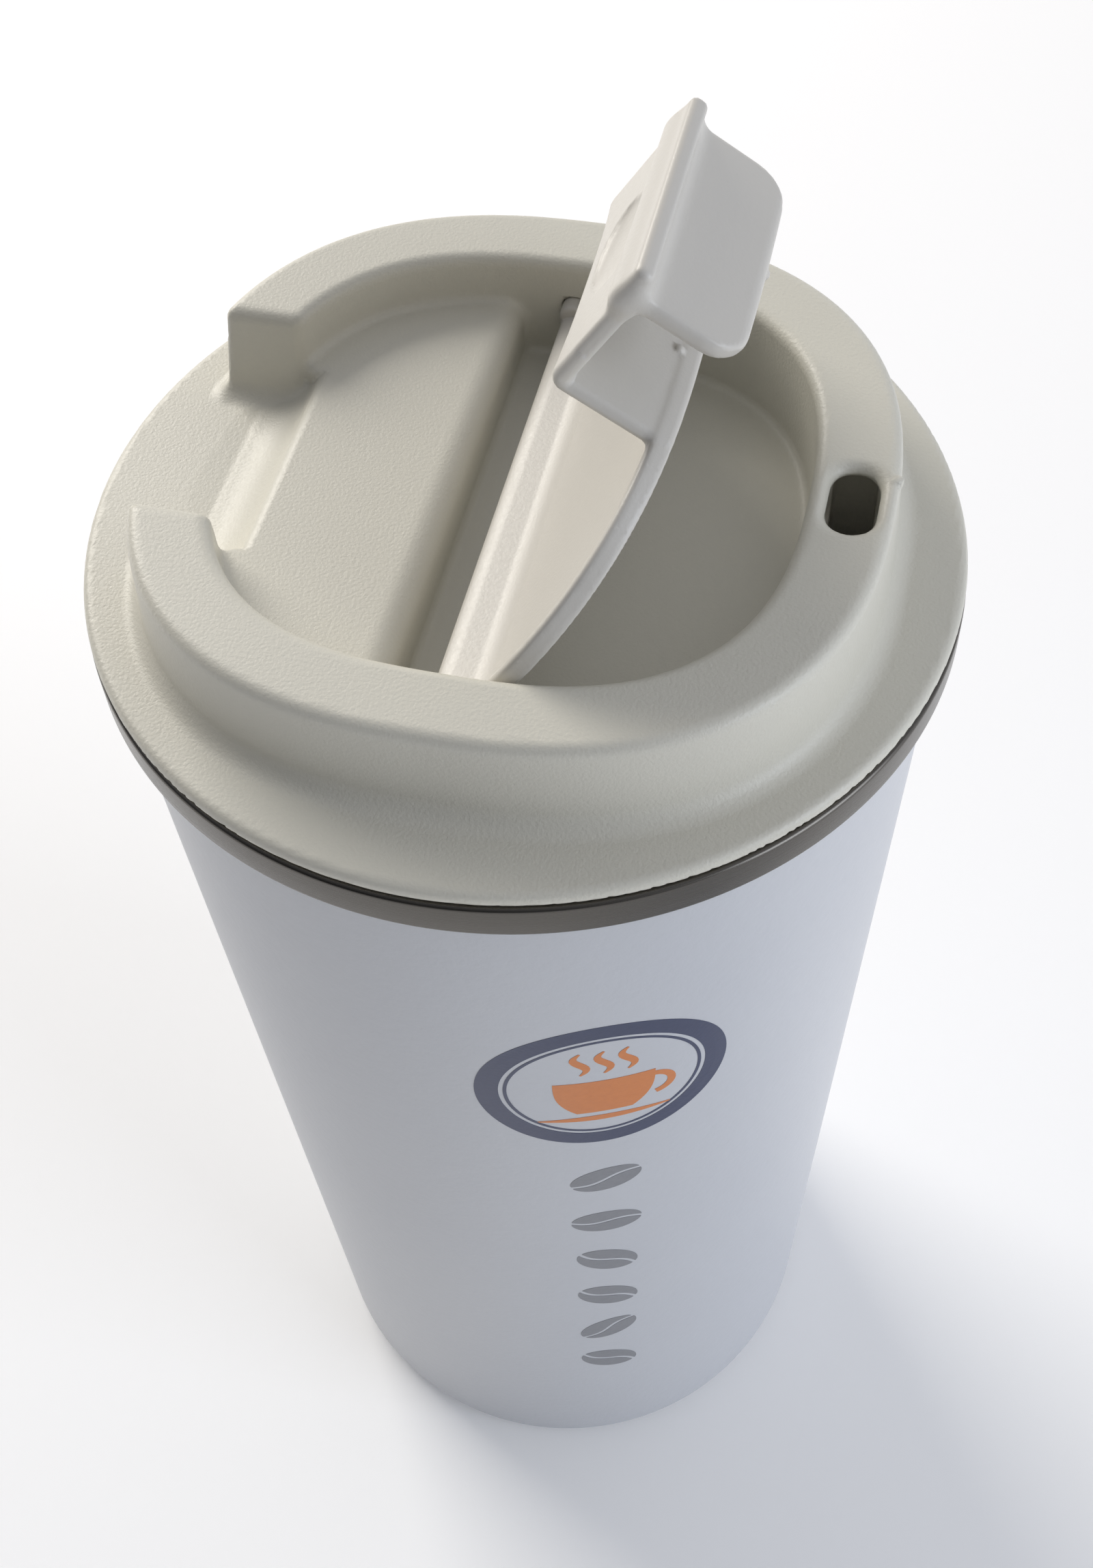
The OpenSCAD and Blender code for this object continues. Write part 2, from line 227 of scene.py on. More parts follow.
def new_piece(name, points, faces, material, smooth_angle=None):
    """A mesh piece in metres from points in millimetres, shaded smooth."""
    mesh = bpy.data.meshes.new(name)
    mesh.from_pydata((np.asarray(points, float) * MM).tolist(), [], faces)
    mesh.polygons.foreach_set("use_smooth", [True] * len(mesh.polygons))
    if smooth_angle:
        mesh.set_sharp_from_angle(angle=math.radians(smooth_angle))
    mesh.materials.append(material)
    mesh.validate()
    piece = bpy.data.objects.new(name, mesh)
    bpy.context.scene.collection.objects.link(piece)
    return piece


def turned(name, profile, material, smooth_angle=32):
    """A turned piece: a closed outline of radius and height, anticlockwise, run round Z.
    Points on the axis become one pole."""
    count = len(profile)
    angles = np.arange(turn_steps) * 2 * math.pi / turn_steps
    radius, height = profile[:, 0], profile[:, 1]
    points = np.stack([np.outer(np.cos(angles), radius), np.outer(np.sin(angles), radius),
                       np.tile(height, (turn_steps, 1))], -1).reshape(-1, 3)
    number = np.arange(turn_steps * count).reshape(turn_steps, count)
    number[:, radius == 0] = number[0, radius == 0]
    used, number = np.unique(number, return_inverse=True)
    points, number = points[used], number.reshape(turn_steps, count)
    faces = []
    for i in range(turn_steps):
        here, there = number[i], number[(i + 1) % turn_steps]
        for k in range(count):
            m = (k + 1) % count
            corners = dict.fromkeys((here[k], there[k], there[m], here[m]))
            if len(corners) > 2:
                faces.append([int(corner) for corner in corners])
    return new_piece(name, points, faces, material, smooth_angle)


powder_coat, shader, place = start_finish("powder_coat", 0.42, Coat_Weight=0.25,
                                          Coat_Roughness=0.3)
grain = noise(place, 0.0011, 3.0)
cloud = noise(place, 0.03)
mixed(cloud, (0.525, 0.54, 0.575, 1), (0.555, 0.57, 0.60, 1)).feed(shader, "Base Color")
(grain * 0.12 + 0.36).feed(shader, "Roughness")
relief(grain, 0.00006, shader)

wall = turned("powder_coated_wall", outline([
    (foot_hole_r, shell_low, 0.25),
    (foot_r, shell_low, foot_roll),
    (foot_r, shell_low + foot_roll, 0),
    (shoulder_r, band_low, 0),
    (shoulder_r, shell_high, 0),
    (shoulder_r - sheet_t, shell_high, 0),
    (shoulder_r - sheet_t, band_low, 0),
    (foot_r - sheet_t, shell_low + foot_roll, 0),
    (foot_r - sheet_t, shell_low + sheet_t, foot_roll - sheet_t - 0.01),
    (foot_hole_r, shell_low + sheet_t, 0.25),
], steps=12), powder_coat)
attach(wall, "mug")
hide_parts("outer_shell")

# ---------------------------------------------------------------------------------------------
# Mouth band: bare stainless steel, pressed over the wall's top edge, welded to the neck and
# brushed all round. Its colour is set much darker than bare steel, as painted shade for the dark
# surroundings that it reflects.
# ---------------------------------------------------------------------------------------------
band_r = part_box("mouth_band")[1].x / MM
band_high = rim / MM
neck_out_r = 41.8


def brushed(name, colour, roughness, line=0.0001):
    """Steel with fine brush lines that run round the mug."""
    material, shader, place = start_finish(name, roughness, Metallic=1.0)
    lines = noise(place, line, 2.0, (0.004, 0.004, 1))
    wide = noise(place, 0.0022, 2.0, (0.02, 0.02, 1))
    dark = [c * 0.82 for c in colour] + [1]
    mixed(lines * 0.6 + wide * 0.4, dark, list(colour) + [1]).feed(shader, "Base Color")
    (lines * 0.22 + (roughness - 0.11)).feed(shader, "Roughness")
    relief(lines, 0.000012, shader)
    return material


# Painted shade: the band's steel colour is far darker than bare steel, standing in for the dark
# surroundings that it reflects.
brushed_steel = brushed("brushed_steel", (0.13, 0.122, 0.11), 0.27)
band = turned("mouth_band_brushed", outline([
    (shoulder_r, band_low, 0),
    (band_r, band_low, 0.45),
    (band_r, band_high, 0.5),
    (neck_out_r, band_high, 0),
    (neck_out_r, band_high - sheet_t, 0),
    (band_r - sheet_t, band_high - sheet_t, 0.1),
    (band_r - sheet_t, band_low + sheet_t, 0.1),
    (shoulder_r, band_low + sheet_t, 0),
]), brushed_steel)
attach(band, "mug")
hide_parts("mouth_band")

# ---------------------------------------------------------------------------------------------
# Liner: deep-drawn steel cup, straight at the neck. Three short thread ramps are pressed into
# the neck; the ramps follow a helix.
# ---------------------------------------------------------------------------------------------
neck_r = 41.0
neck_h = 22.0
flare_h = 8.0
liner_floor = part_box("inner_liner")[0].z / MM
liner_foot_r = 33.0
liner_top_r = neck_r - 2.2
liner_round = 5.0
thread_lead = 9.0
thread_starts = 3
ramp_turn = 60.0
ramp_centre = math.radians(60)
ramp_half_h = 0.6
neck_ramp_z = band_high - 9.5
neck_ramp_depth = 1.4
flare_round = 6.0
neck_lip_round = 0.3


def tree_input(tree, name, kind, value=None):
    """Adds a named input to a geometry tree and returns its identifier."""
    socket = tree.interface.new_socket(name, in_out="INPUT", socket_type="NodeSocket" + kind)
    if value is not None:
        socket.default_value = value
    return socket.identifier


def thread_tree():
    """Adds helical thread ramps, spaced evenly round Z, to a turned piece."""
    tree = bpy.data.node_groups.new("thread_ramps", "GeometryNodeTree")
    tree_input(tree, "Turned piece", "Geometry")
    for name, kind, value in (("Helix radius", "Float", 0.04), ("Lead", "Float", 0.009),
                              ("Starts", "Int", 3), ("Ramp turn", "Float", 1 / 6),
                              ("Ramp depth", "Float", 0.001), ("Ramp height", "Float", 0.0006),
                              ("Ramp level", "Float", 0.16), ("Ramp centre", "Float", 1.0)):
        tree_input(tree, name, kind, value)
    tree_input(tree, "Finish", "Material")
    tree.interface.new_socket("Geometry", in_out="OUTPUT", socket_type="NodeSocketGeometry")
    source = tree.nodes.new("NodeGroupInput")
    given = {socket.name: Wire(tree, socket) for socket in source.outputs if socket.name}
    start = Wire(tree)
    radius, turn = given["Helix radius"], given["Ramp turn"]
    rise = given["Lead"] * turn
    helix = start.node("GeometryNodeCurveSpiral", None, {
        "Resolution": 220, "Rotations": turn, "Start Radius": radius, "End Radius": radius,
        "Height": rise})
    along = start.node("GeometryNodeSplineParameter", output="Factor")
    ends = start.maths("MINIMUM", start.maths("MINIMUM", along, 1 - along) * 9 + 0.05, 1.0)
    helix = start.node("GeometryNodeSetCurveRadius", None, {"Curve": helix, "Radius": ends})
    bead = start.node("GeometryNodeCurvePrimitiveCircle", {"mode": "RADIUS"},
                      {"Resolution": 16, "Radius": 1.0})
    bead = start.node("GeometryNodeTransform", None, {
        "Geometry": bead,
        "Scale": start.node("ShaderNodeCombineXYZ", None, {
            "X": given["Ramp depth"], "Y": given["Ramp height"], "Z": 1.0})})
    ramp = start.node("GeometryNodeCurveToMesh", None,
                      {"Curve": helix, "Profile Curve": bead, "Fill Caps": True})
    spots = start.node("GeometryNodeMeshLine", {"mode": "OFFSET"}, {
        "Count": given["Starts"],
        "Offset": (0, 0, 0),
        "Start Location": start.node("ShaderNodeCombineXYZ", None, {
            "Z": given["Ramp level"] - rise * 0.5})})
    number = start.node("GeometryNodeInputIndex")
    angle = given["Ramp centre"] - turn * math.pi + number * (2 * math.pi) / given["Starts"]
    ramps = start.node("GeometryNodeInstanceOnPoints", None, {
        "Points": spots, "Instance": ramp,
        "Rotation": start.node("ShaderNodeCombineXYZ", None, {"Z": angle})})
    ramps = start.node("GeometryNodeSetShadeSmooth", None, {
        "Geometry": start.node("GeometryNodeRealizeInstances", None, {"Geometry": ramps})})
    joined = tree.nodes.new("GeometryNodeJoinGeometry")
    given["Turned piece"].feed(joined, "Geometry")
    ramps.feed(joined, "Geometry")
    finished = start.node("GeometryNodeSetMaterial", None, {
        "Geometry": start.node("GeometryNodeRealizeInstances", None,
                               {"Geometry": Wire(tree, joined.outputs[0])}),
        "Material": given["Finish"]})
    finished.feed(tree.nodes.new("NodeGroupOutput"), 0)
    return tree


def grown(piece, tree, **values):
    """The plain mesh that a geometry tree makes of a piece; the tree's inputs go by name."""
    modifier = piece.modifiers.new("grown", "NODES")
    modifier.node_group = tree
    for item in tree.interface.items_tree:
        key = item.name.lower().replace(" ", "_")
        if item.in_out == "INPUT" and key in values:
            modifier[item.identifier] = values[key]
    evaluated = piece.evaluated_get(bpy.context.evaluated_depsgraph_get())
    mesh = bpy.data.meshes.new_from_object(evaluated)
    mesh.name = piece.data.name
    piece.modifiers.remove(modifier)
    piece.data = mesh
    return piece


liner_steel = brushed("liner_steel", (0.63, 0.61, 0.58), 0.30, 0.00016)
liner = turned("steel_liner", outline([
    (0, liner_floor, 0),
    (liner_foot_r, liner_floor, liner_round),
    (liner_top_r + sheet_t, band_high - neck_h - flare_h, flare_round),
    (neck_r + sheet_t, band_high - neck_h, flare_round),
    (neck_r + sheet_t, band_high, neck_lip_round),
    (neck_r, band_high, neck_lip_round),
    (neck_r, band_high - neck_h, flare_round),
    (liner_top_r, band_high - neck_h - flare_h, flare_round),
    (liner_foot_r - sheet_t, liner_floor + sheet_t, liner_round - sheet_t),
    (0, liner_floor + sheet_t, 0),
]), liner_steel)
threads = thread_tree()
grown(liner, threads, helix_radius=neck_r * MM, lead=thread_lead * MM, starts=thread_starts,
      ramp_turn=ramp_turn / 360, ramp_depth=neck_ramp_depth * MM,
      ramp_height=ramp_half_h * MM, ramp_level=neck_ramp_z * MM, ramp_centre=ramp_centre,
      finish=liner_steel)
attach(liner, "mug")
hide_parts("inner_liner")

# ---------------------------------------------------------------------------------------------
# Prints on the wall: a round badge of a steaming cup in navy and orange ink, over a column of
# grey coffee beans. The art is drawn flat, and a tree repeats it and wraps it on the wall.
# ---------------------------------------------------------------------------------------------
badge_r = 14.0
badge_line = 2.6
hairline_in, hairline_out = 0.9, 0.5
print_azimuth = math.radians(-66.8)
badge_z = 127.0
bean_a, bean_b = 4.4, 3.0
bean_count = 6
bean_pitch = 13.1
bean_z = 105.0 - bean_b
bean_swing = 0.75
bean_seed = 7
crease_half = 0.28
crease_wave = 0.5
cup_half_w, cup_low, cup_h = 5.6, -6.0, 7.6
cup_taper = 0.45
handle_r, handle_w, handle_at = 2.3, 0.95, (5.2, -1.7)
handle_turn = (-1.35, 1.45)
saucer_half, saucer_y = 7.4, -7.5
steam_low, steam_h, steam_wave, steam_step = 3.4, 5.0, 0.7, 2.6
tip_w = 0.25
ink_lift = 0.006
full_turn = (0, 2 * math.pi)


def print_tree():
    """Repeats flat art down a line, wraps it on the tapered wall and gives the ink a thickness."""
    tree = bpy.data.node_groups.new("wrapped_print", "GeometryNodeTree")
    tree_input(tree, "Art", "Geometry")
    for name, kind, value in (("Count", "Int", 1), ("Pitch", "Float", 0.01),
                              ("Swing", "Float", 0.0), ("Seed", "Int", 3),
                              ("Level", "Float", 0.1),
                              ("Azimuth", "Float", 0.0), ("Foot radius", "Float", 0.038),
                              ("Foot level", "Float", 0.004), ("Taper", "Float", 0.03),
                              ("Ink", "Float", 0.00003)):
        tree_input(tree, name, kind, value)
    tree_input(tree, "Finish", "Material")
    tree.interface.new_socket("Geometry", in_out="OUTPUT", socket_type="NodeSocketGeometry")
    source = tree.nodes.new("NodeGroupInput")
    given = {socket.name: Wire(tree, socket) for socket in source.outputs if socket.name}
    start = Wire(tree)
    spots = start.node("GeometryNodeMeshLine", {"mode": "OFFSET"}, {
        "Count": given["Count"],
        "Offset": start.node("ShaderNodeCombineXYZ", None, {"Y": given["Pitch"] * -1})})
    swing = start.node("FunctionNodeRandomValue", {"data_type": "FLOAT"}, {
        2: given["Swing"] * -1, 3: given["Swing"], "Seed": given["Seed"]}, output=1)
    copies = start.node("GeometryNodeInstanceOnPoints", None, {
        "Points": spots, "Instance": given["Art"],
        "Rotation": start.node("ShaderNodeCombineXYZ", None, {"Z": swing})})
    flat = start.node("GeometryNodeRealizeInstances", None, {"Geometry": copies})
    place = start.node("GeometryNodeInputPosition")
    right, high = (start.node("ShaderNodeSeparateXYZ", None, {"Vector": place}, output=i)
                   for i in (0, 1))
    high = high + given["Level"]
    radius = given["Foot radius"] + (high - given["Foot level"]) * given["Taper"]
    angle = given["Azimuth"] + right / radius
    wrapped = start.node("GeometryNodeSetPosition", None, {
        "Geometry": flat,
        "Position": start.node("ShaderNodeCombineXYZ", None, {
            "X": radius * start.maths("COSINE", angle),
            "Y": radius * start.maths("SINE", angle), "Z": high})})
    raised = start.node("GeometryNodeExtrudeMesh", {"mode": "FACES"}, {
        "Mesh": wrapped, "Offset Scale": given["Ink"], "Individual": False})
    under = start.node("GeometryNodeFlipFaces", None, {"Mesh": wrapped})
    joined = tree.nodes.new("GeometryNodeJoinGeometry")
    raised.feed(joined, "Geometry")
    under.feed(joined, "Geometry")
    closed = start.node("GeometryNodeMergeByDistance", None,
                        {"Geometry": Wire(tree, joined.outputs[0]), "Distance": 1e-6})
    finished = start.node("GeometryNodeSetMaterial", None, {
        "Geometry": start.node("GeometryNodeRealizeInstances", None, {"Geometry": closed}),
        "Material": given["Finish"]})
    finished.feed(tree.nodes.new("NodeGroupOutput"), 0)
    return tree


def strip(first, second, columns=4, closed=False):
    """A strip of quads in the plane, from a line on its left to a line on its right."""
    first, second = np.asarray(first, float), np.asarray(second, float)
    share = np.linspace(0, 1, columns + 1)[None, :, None]
    points = (first[:, None] * (1 - share) + second[:, None] * share).reshape(-1, 2)
    rows, step = len(first), columns + 1
    faces = [(i * step + k, i * step + k + 1, (i + 1) % rows * step + k + 1,
              (i + 1) % rows * step + k)
             for i in range(rows if closed else rows - 1) for k in range(columns)]
    return points, faces


def stroke(line, width):
    """A strip of some width along a line."""
    line = np.asarray(line, float)
    run = np.gradient(line, axis=0)
    side = np.stack([-run[:, 1], run[:, 0]], 1) / np.hypot(*run.T)[:, None]
    half = np.broadcast_to(width, len(line))[:, None] / 2
    return strip(line + side * half, line - side * half, 2)


def circle(radius, count=120, turn=full_turn, centre=(0, 0)):
    """Points along a circle, or along the arc of it between two angles."""
    angles = np.linspace(*turn, count, endpoint=turn != full_turn)
    return np.stack([np.cos(angles), np.sin(angles)], 1) * radius + centre


def printed(name, strips, ink, **values):
    """A print: its strips as one flat mesh, then wrapped by the tree."""
    points, faces = [], []
    for strip_points, strip_faces in strips:
        base = sum(map(len, points))
        points.append(strip_points)
        faces += [[int(corner) + base for corner in face] for face in strip_faces]
    points = np.concatenate(points)
    art = new_piece(name, np.column_stack([points, np.zeros(len(points))]), faces, ink)
    art.data.polygons.foreach_set("use_smooth", [False] * len(art.data.polygons))
    grown(art, wraps, foot_radius=(foot_r + ink_lift) * MM,
          foot_level=(shell_low + foot_roll) * MM,
          taper=(shoulder_r - foot_r) / (band_low - shell_low - foot_roll),
          azimuth=print_azimuth, finish=ink, **values)
    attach(art, "mug")


def screen_ink(name, light, dark):
    """Screen ink: faintly mottled, and glossier than the powder coat."""
    material, shader, place = start_finish(name, 0.34)
    mottle = noise(place, 0.0007, 3.0)
    mixed(mottle, list(dark) + [1], list(light) + [1]).feed(shader, "Base Color")
    relief(mottle, 0.00001, shader)
    return material


wraps = print_tree()
part = np.linspace(0, 1, 15)
swell = np.sin(math.pi * part)
cup_side = cup_half_w * (1 - cup_taper * (1 - part) ** 3)
cup_level = cup_low + cup_h * part
steam = [stroke(np.stack([x + steam_wave * np.sin(2 * math.pi * part),
                          steam_low + steam_h * part], 1), tip_w + 0.8 * swell)
         for x in (-steam_step, 0.0, steam_step)]
printed("badge_ring_print", [
    strip(circle(badge_r - badge_line), circle(badge_r), 2, closed=True),
    strip(circle(badge_r - badge_line - hairline_in),
          circle(badge_r - badge_line - hairline_out), 1, closed=True),
], screen_ink("navy_ink", (0.030, 0.042, 0.105), (0.020, 0.030, 0.080)), level=badge_z * MM)
printed("badge_cup_print", [
    strip(np.stack([-cup_side, cup_level], 1), np.stack([cup_side, cup_level], 1), 10),
    stroke(circle(handle_r, 16, handle_turn, handle_at), handle_w),
    stroke(np.stack([saucer_half * (2 * part - 1), np.full(len(part), saucer_y)], 1),
           tip_w + 0.9 * swell),
    *steam,
], screen_ink("orange_ink", (0.68, 0.22, 0.045), (0.60, 0.18, 0.035)), level=badge_z * MM)
bean_x = bean_a * 0.985 * np.cos(np.linspace(math.pi, 0, 25))
bean_edge = bean_b * np.sqrt(1 - (bean_x / bean_a) ** 2)
crease = crease_wave * np.sin(math.pi * bean_x / bean_a)
printed("bean_column_print", [
    strip(np.stack([bean_x, bean_edge], 1),
          np.stack([bean_x, np.minimum(crease + crease_half, bean_edge - 0.05)], 1), 3),
    strip(np.stack([bean_x, np.maximum(crease - crease_half, 0.05 - bean_edge)], 1),
          np.stack([bean_x, -bean_edge], 1), 3),
], screen_ink("grey_ink", (0.235, 0.24, 0.26), (0.19, 0.195, 0.21)), level=bean_z * MM,
    count=bean_count, pitch=bean_pitch * MM, swing=bean_swing, seed=bean_seed)

# ---------------------------------------------------------------------------------------------
# Inside the vacuum: copper foil wrapped round the liner, the pressed base plate, the getter
# clipped on it and the bead of solder that closes the evacuation hole.
# ---------------------------------------------------------------------------------------------
copper_foil, shader, place = start_finish("copper_foil", 0.3, Metallic=1.0)
creases_and_painted_shade = noise(place, 0.006, 4.0)
# Painted shade: the copper is darker where the creases sink, on top of their bump.
mixed(creases_and_painted_shade, (0.62, 0.33, 0.20, 1), (0.80, 0.50, 0.34, 1)).feed(shader, "Base Color")
relief(creases_and_painted_shade, 0.0004, shader)
solder_grey, shader, place = start_finish("solder_grey", 0.45, Metallic=1.0)
blobs = noise(place, 0.002, 3.0)
mixed(blobs, (0.20, 0.21, 0.22, 1), (0.34, 0.35, 0.37, 1)).feed(shader, "Base Color")
relief(blobs, 0.0001, shader)
pressed_steel = brushed("pressed_steel", (0.52, 0.50, 0.48), 0.42, 0.0003)
for node, material in (("foil_wrap", copper_foil), ("outer_base", pressed_steel),
                       ("getter", pressed_steel), ("vacuum_seal", solder_grey)):
    for place_in_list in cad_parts[node].material_slots:
        place_in_list.material = material

# ---------------------------------------------------------------------------------------------
# Foot: a thin steel cover whose rim is glued under the base plate, and the ring of grey
# silicone that the mug stands on.
# ---------------------------------------------------------------------------------------------
cover_low, cover_high = (corner.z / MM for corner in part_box("base_cover"))
cover_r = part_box("base_cover")[1].x / MM
cover_t = 0.6
cover_pan_r = 20.0
cover_pan = 0.25
glue_rim_r = 31.5
glue_rim_w = 2.0
cover = turned("base_cover_disc", outline([
    (0, cover_low + cover_pan, 0),
    (cover_pan_r, cover_low + cover_pan, 0.3),
    (cover_pan_r + 1, cover_low, 0.3),
    (cover_r, cover_low, 0.2),
    (cover_r, cover_low + cover_t, 0.2),
    (glue_rim_r, cover_low + cover_t, 0),
    (glue_rim_r, cover_high, 0.1),
    (glue_rim_r - glue_rim_w, cover_high, 0.1),
    (glue_rim_r - glue_rim_w, cover_low + cover_t, 0),
    (0, cover_low + cover_t, 0),
], steps=4), pressed_steel)
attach(cover, "mug")
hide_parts("base_cover")

pad_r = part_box("foot_pad")[1].x / MM
pad_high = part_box("foot_pad")[1].z / MM
pad_in_r = 23.5
pad_channel = 0.35
pad_lip_w, pad_lip_slope = 2, 0.3
pad_silicone, shader, place = start_finish("foot_silicone", 0.62)
dust = noise(place, 0.0009, 3.0)
mixed(dust, (0.20, 0.205, 0.215, 1), (0.27, 0.275, 0.285, 1)).feed(shader, "Base Color")
relief(dust, 0.00005, shader)
pad = turned("silicone_foot_ring", outline([
    (pad_in_r, 0, 0.4),
    (pad_in_r + pad_lip_w, 0, 0.1),
    (pad_in_r + pad_lip_w + pad_lip_slope, pad_channel, 0.1),
    (pad_r - pad_lip_w - pad_lip_slope, pad_channel, 0.1),
    (pad_r - pad_lip_w, 0, 0.1),
    (pad_r, 0, 0.5),
    (pad_r, pad_high, 0),
    (pad_in_r, pad_high, 0),
], steps=4), pad_silicone)
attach(pad, "mug")
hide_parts("foot_pad")

# ---------------------------------------------------------------------------------------------
# Plug: the threaded lower moulding of the lid, in the lid's grey plastic. A skirt with three
# ramps, a disc that closes it, a groove for the gasket and the slot of the drinking channel.
# ---------------------------------------------------------------------------------------------
skirt_r = 39.2
skirt_t = 1.8
skirt_low = -16.0
plug_high = 0.3
disc_top = -2.3
disc_t = 1.8
groove_r = 38.0
groove_low, groove_high = -4.8, -1.7
sip_x = 33.0
sip_w, sip_l = 5.2, 8.6
channel_l = 13.0
channel_low, channel_high = -8, 4
plug_ramp_depth = 1.55
plug_ramp_sink = 0.2
plug_cell = 0.62


def meet(a, b, fillet=0.0):
    """Where both shapes are solid, their shared edge rounded."""
    if not fillet:
        return np.maximum(a, b)
    return (np.minimum(-fillet, np.maximum(a, b))
            + np.hypot(np.maximum(fillet + a, 0), np.maximum(fillet + b, 0)))


def join(a, b, fillet=0.0):
    """Where either shape is solid, the corner between them filleted."""
    if not fillet:
        return np.minimum(a, b)
    return (np.maximum(fillet, np.minimum(a, b))
            - np.hypot(np.maximum(fillet - a, 0), np.maximum(fillet - b, 0)))


def between(value, low, high, fillet=0.0):
    """A slab of a coordinate from low to high."""
    return meet(low - value, value - high, fillet)


def stadium(x, y, width, length):
    """Distance to a slot with round ends round the drinking hole's centre, long along Y."""
    straight = (length - width) / 2
    return np.hypot(x - sip_x, y - np.clip(y, -straight, straight)) - width / 2


def sculpted(name, distance, low, high, cell, material, place=None):
    """Skins a distance function, in millimetres: a net of quads with one point in each cell
    that the surface crosses, drawn onto the zero level by Newton's steps, with the function's
    own slope as its normals. place moves the finished points."""
    axes = [np.arange(a - 1.5 * cell, b + 2 * cell, cell) for a, b in zip(low, high)]
    grid = distance(*np.meshgrid(*axes, indexing="ij"))
    size = np.array(grid.shape)
    solid = grid < 0
    total = np.zeros((*(size - 1), 3))
    count = np.zeros(size - 1)
    corners = [(i, j, k) for i in (0, 1) for j in (0, 1) for k in (0, 1)]

    def shifted(array, corner):
        return array[tuple(slice(c, n - 1 + c) for c, n in zip(corner, size))]

    for first in corners:
        for axis in range(3):
            if first[axis]:
                continue
            second = tuple(c + (axis == i) for i, c in enumerate(first))
            a, b = shifted(grid, first), shifted(grid, second)
            crossed = shifted(solid, first) != shifted(solid, second)
            part = np.where(crossed, a / np.where(crossed, a - b, 1), 0)
            for i in range(3):
                total[..., i] += np.where(crossed, first[i] + (part if i == axis else 0), 0)
            count += crossed
    active = count > 0
    number = np.full(active.shape, -1)
    number[active] = np.arange(active.sum())
    origin = np.array([a[0] for a in axes])
    points = (np.argwhere(active) + total[active] / count[active][:, None]) * cell + origin
    faces = []
    for axis in range(3):
        u, v = (axis + 1) % 3, (axis + 2) % 3
        low_end = [slice(1, -1)] * 3
        low_end[axis] = slice(0, -1)
        high_end = list(low_end)
        high_end[axis] = slice(1, None)
        here, there = solid[tuple(low_end)], solid[tuple(high_end)]
        base = np.argwhere(here != there)
        outward = here[here != there]
        base[:, u] += 1
        base[:, v] += 1
        ring = []
        for du, dv in ((0, 0), (-1, 0), (-1, -1), (0, -1)):
            cells = base.copy()
            cells[:, u] += du
            cells[:, v] += dv
            ring.append(number[tuple(cells.T)])
        ring = np.stack(ring, 1)
        ring[~outward] = ring[~outward][:, ::-1]
        faces.append(ring)
    faces = np.concatenate(faces)
    probe = 0.02

    def slope(p):
        steps = []
        for i in range(3):
            nudge = np.zeros(3)
            nudge[i] = probe
            steps.append(distance(*(p + nudge).T) - distance(*(p - nudge).T))
        return np.stack(steps, 1) / (2 * probe)

    for _ in range(4):
        gradient = slope(points)
        steep = np.maximum((gradient ** 2).sum(1), 0.3)
        step = gradient * (distance(*points.T) / steep)[:, None]
        length = np.linalg.norm(step, axis=1)
        points -= step * np.minimum(1, 0.5 * cell / np.maximum(length, 1e-9))[:, None]
    normals = slope(points)
    normals /= np.maximum(np.linalg.norm(normals, axis=1), 1e-9)[:, None]
    if place:
        points, normals = place(points, False), place(normals, True)
    piece = new_piece(name, points, faces.tolist(), material)
    piece.data.normals_split_custom_set_from_vertices(normals.tolist())
    return piece


def over_rim(points, only_turned):
    """Lifts a shape drawn over the rim to its place on the mug."""
    return points if only_turned else points + np.array((0, 0, band_high))


def plug_shape(x, y, z):
    """Skirt and disc, less the bore on both sides of the disc, the groove and the channel."""
    r = np.hypot(x, y)
    body = meet(r - skirt_r, between(z, skirt_low, plug_high, 0.5), 0.5)
    bore = meet(r - (skirt_r - skirt_t), -between(z, disc_top - disc_t, disc_top), 0.8)
    groove = meet(groove_r - r, between(z, groove_low, groove_high), 0.3)
    channel = meet(stadium(x, y, sip_w, channel_l), between(z, channel_low, channel_high))
    body = meet(body, -bore, 0.3)
    body = meet(body, -groove, 0.15)
    return meet(body, -channel, 0.4)


def moulded(name, light, dark, gloss, texture_depth):
    """Moulded plastic: faint clouding and a fine eroded texture, its depth in metres."""
    material, shader, place = start_finish(name, gloss)
    cloud = noise(place, 0.012, 3.0)
    grain = noise(place, 0.00035, 2.0)
    mixed(cloud * 0.6 + grain * 0.4, list(dark) + [1], list(light) + [1]).feed(shader, "Base Color")
    (grain * 0.25 + (gloss - 0.12)).feed(shader, "Roughness")
    relief(grain, texture_depth, shader)
    return material


lid_plastic = moulded("lid_plastic", (0.67, 0.65, 0.565), (0.63, 0.61, 0.535), 0.42, 0.00005)
plug = sculpted("threaded_plug", plug_shape, (-skirt_r, -skirt_r, skirt_low),
                (skirt_r, skirt_r, plug_high), plug_cell, lid_plastic, over_rim)
grown(plug, threads, helix_radius=(skirt_r - plug_ramp_sink) * MM, lead=thread_lead * MM,
      starts=thread_starts, ramp_turn=ramp_turn / 360, ramp_depth=plug_ramp_depth * MM,
      ramp_height=ramp_half_h * MM, ramp_centre=ramp_centre, finish=lid_plastic,
      ramp_level=(neck_ramp_z - thread_lead / thread_starts / 2) * MM)
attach(plug, "lid")
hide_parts("lid_plug")

